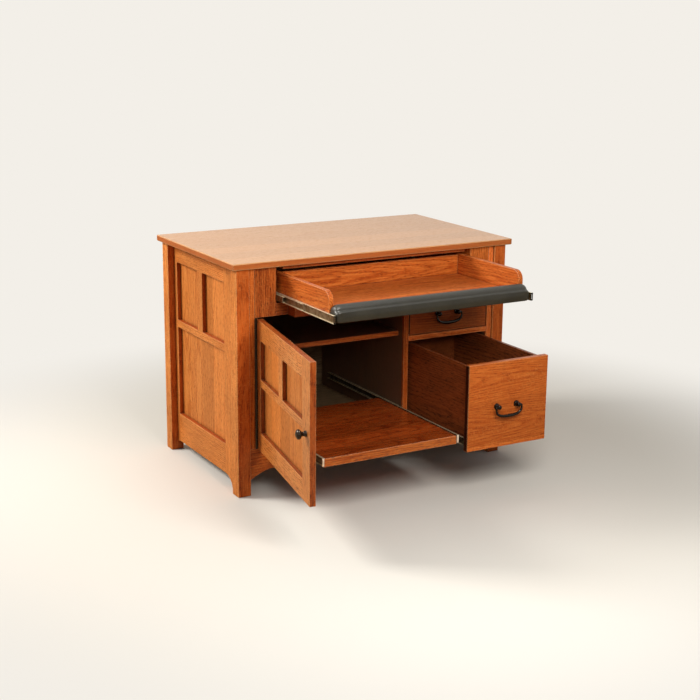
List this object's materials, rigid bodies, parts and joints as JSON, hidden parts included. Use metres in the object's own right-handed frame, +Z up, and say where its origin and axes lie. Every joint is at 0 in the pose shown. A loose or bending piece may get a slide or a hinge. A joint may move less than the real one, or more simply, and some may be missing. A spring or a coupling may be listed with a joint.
{
  "type": "laptop credenza",
  "caption": "Oak desk-height credenza with a pull-out laptop tray and wrist rest, a panelled door over a sliding printer shelf, a small drawer and a file drawer.",
  "frame": {"origin": "bottom centre of the box round the stored pose, with the door, tray, shelf and file drawer open", "axes": "+Z up, +Y from the front to the back, +X to the right seen from the front"},
  "size_m": [1.1068, 1.1602, 0.775],
  "materials": {
    "oak_top": "satin lacquered quartersawn oak, laid flat",
    "oak_side": "satin lacquered quartersawn oak, grain upright",
    "oak_panel": "satin lacquered oak panel, grain upright",
    "oak_front": "satin lacquered oak, medium reddish stain",
    "oak_inside": "stained oak in the shade of the case",
    "drawer_box": "plain stained drawer stock",
    "zinc": "zinc-plated pressed steel with a warm cast",
    "bronze": "dark oil-rubbed bronze",
    "hinge_steel": "dark finished steel",
    "vinyl": "black grained vinyl over foam"
  },
  "bodies": {
    "case": {"top_panel": "oak_top", "left_front_leg": "oak_side", "left_rear_leg": "oak_side", "right_front_leg": "oak_side", "right_rear_leg": "oak_side", "left_side_frame": "oak_side", "right_side_frame": "oak_side", "left_side_panel": "oak_panel", "right_side_panel": "oak_panel", "left_lining": "oak_front", "right_lining": "oak_front", "left_tray_cheek": "oak_front", "right_tray_cheek": "oak_front", "front_apron": "oak_front", "top_rail": "oak_front", "tray_rail": "oak_front", "partition": "oak_front", "drawer_deck": "oak_front", "back_panel": "oak_inside", "floor_panel": "oak_inside", "upper_shelf": "oak_inside", "shelf_cleat": "oak_inside", "tray_left_fixed_channel": "zinc", "tray_right_fixed_channel": "zinc", "shelf_left_fixed_channel": "zinc", "shelf_right_fixed_channel": "zinc", "file_left_fixed_channel": "zinc", "file_right_fixed_channel": "zinc", "hinge_case_leaf": "hinge_steel"},
    "tray": {"tray_board": "oak_top", "tray_left_side": "oak_top", "tray_right_side": "oak_top", "tray_back": "oak_top", "wrist_pad": "vinyl", "tray_left_moving_channel": "zinc", "tray_right_moving_channel": "zinc"},
    "tray_middles": {"tray_left_middle_channel": "zinc", "tray_right_middle_channel": "zinc"},
    "shelf": {"sliding_shelf": "oak_front", "shelf_left_moving_channel": "zinc", "shelf_right_moving_channel": "zinc"},
    "door": {"door_frame": "oak_front", "door_panel": "oak_panel", "door_knob": "bronze", "hinge_door_leaf": "hinge_steel"},
    "file_drawer": {"file_drawer_front": "oak_front", "file_drawer_box": "drawer_box", "file_drawer_bottom": "drawer_box", "file_drawer_left_post": "bronze", "file_drawer_right_post": "bronze", "file_left_moving_channel": "zinc", "file_right_moving_channel": "zinc"},
    "file_bail": {"file_drawer_bail": "bronze"},
    "small_drawer": {"small_drawer_front": "oak_front", "small_drawer_box": "drawer_box", "small_drawer_bottom": "drawer_box", "small_drawer_left_post": "bronze", "small_drawer_right_post": "bronze"},
    "small_bail": {"small_drawer_bail": "bronze"}
  },
  "joints": [
    {"name": "tray_slide", "type": "slide", "parent": "case", "child": "tray", "axis": [0, -1, 0], "range_m": [-0.321, 0]},
    {"name": "tray_middle_slide", "type": "slide", "parent": "case", "child": "tray_middles", "axis": [0, -1, 0], "range_m": [-0.1605, 0]},
    {"name": "shelf_slide", "type": "slide", "parent": "case", "child": "shelf", "axis": [0, -1, 0], "range_m": [-0.377, 0]},
    {"name": "file_drawer_slide", "type": "slide", "parent": "case", "child": "file_drawer", "axis": [0, -1, 0], "range_m": [-0.36, 0]},
    {"name": "small_drawer_slide", "type": "slide", "parent": "case", "child": "small_drawer", "axis": [0, -1, 0], "range_m": [0, 0.36]},
    {"name": "door_hinge", "type": "hinge", "parent": "case", "child": "door", "pos_m": [-0.42839, -0.02868, 0.374], "axis": [0, 0, -1], "range_deg": [-12, 60]},
    {"name": "file_bail_hinge", "type": "hinge", "parent": "file_drawer", "child": "file_bail", "pos_m": [0.30336, -0.40118, 0.2981], "axis": [-1, 0, 0], "range_deg": [0, 95]},
    {"name": "small_bail_hinge", "type": "hinge", "parent": "small_drawer", "child": "small_bail", "pos_m": [0.30336, -0.04118, 0.5355], "axis": [-1, 0, 0], "range_deg": [0, 95]}
  ],
  "couplings": [
    {"joint": "tray_middle_slide", "follows": "tray_slide", "ratio": 0.5}
  ]
}
